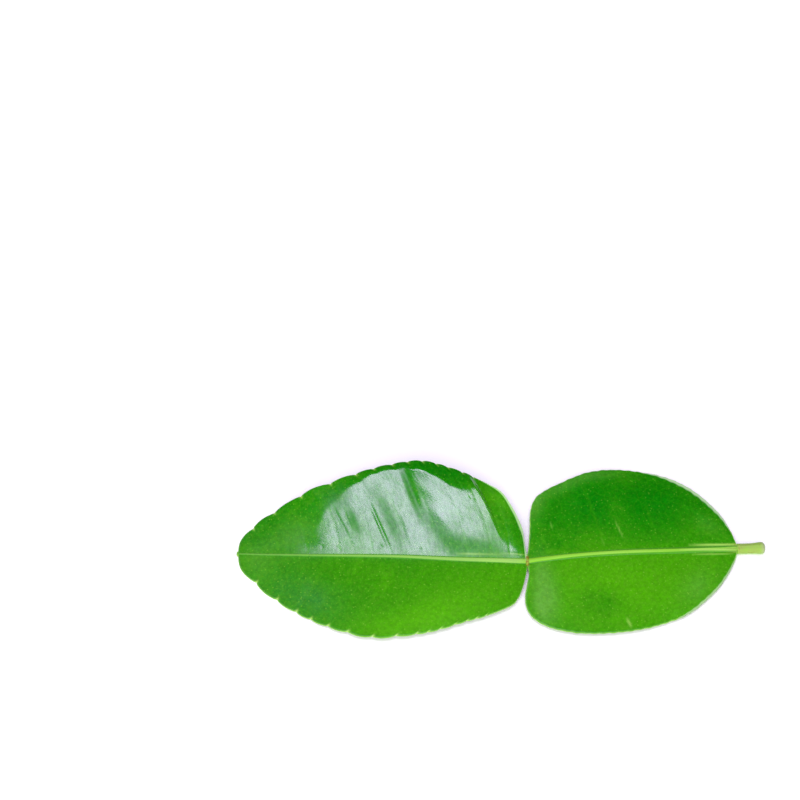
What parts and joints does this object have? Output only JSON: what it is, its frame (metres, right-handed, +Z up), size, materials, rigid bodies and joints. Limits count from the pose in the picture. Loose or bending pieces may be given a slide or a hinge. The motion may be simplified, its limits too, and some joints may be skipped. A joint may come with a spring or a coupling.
{
  "type": "kaffir lime leaf",
  "caption": "Fresh kaffir lime leaf lying face up: a scalloped leaflet, a broad winged stalk joined end to end with it, one raised midrib and a short bare stalk.",
  "frame": {"origin": "under the middle of the leaf's bounding box, on the surface that it lies on", "axes": "+X from the leaflet's tip towards the bare stalk, +Y from the half nearer the camera towards the far half, +Z up out of the glossy upper side"},
  "size_m": [0.112, 0.0394, 0.0077],
  "materials": {
    "leaf_green": "satin"
  },
  "bodies": {
    "root": {"leaf": "leaf_green"}
  },
  "joints": []
}
